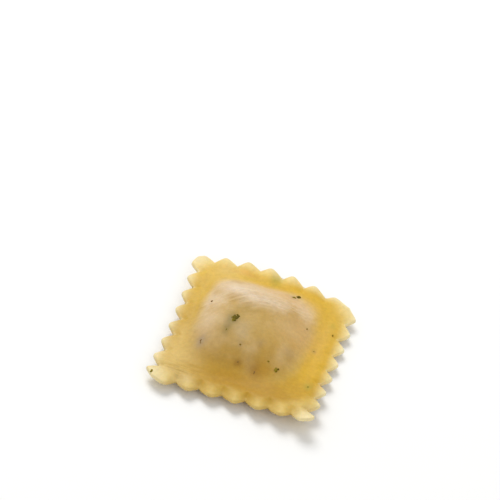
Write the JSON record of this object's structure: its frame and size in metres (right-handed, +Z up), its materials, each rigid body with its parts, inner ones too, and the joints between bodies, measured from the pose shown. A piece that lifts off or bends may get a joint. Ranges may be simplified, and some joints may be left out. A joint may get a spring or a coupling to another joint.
{
  "type": "ravioli",
  "caption": "Single square filled pasta parcel with a wavy pinked edge and a soft raised pillow in the middle.",
  "frame": {"origin": "middle of the plan, on the surface that the parcel rests on", "axes": "+Z up, +Y along the longer sides towards the back, +X along the shorter sides to the right"},
  "size_m": [0.0394, 0.044, 0.009],
  "materials": {
    "egg_dough": "soft, moist satin egg dough"
  },
  "bodies": {
    "root": {"ravioli": "egg_dough"}
  },
  "joints": []
}
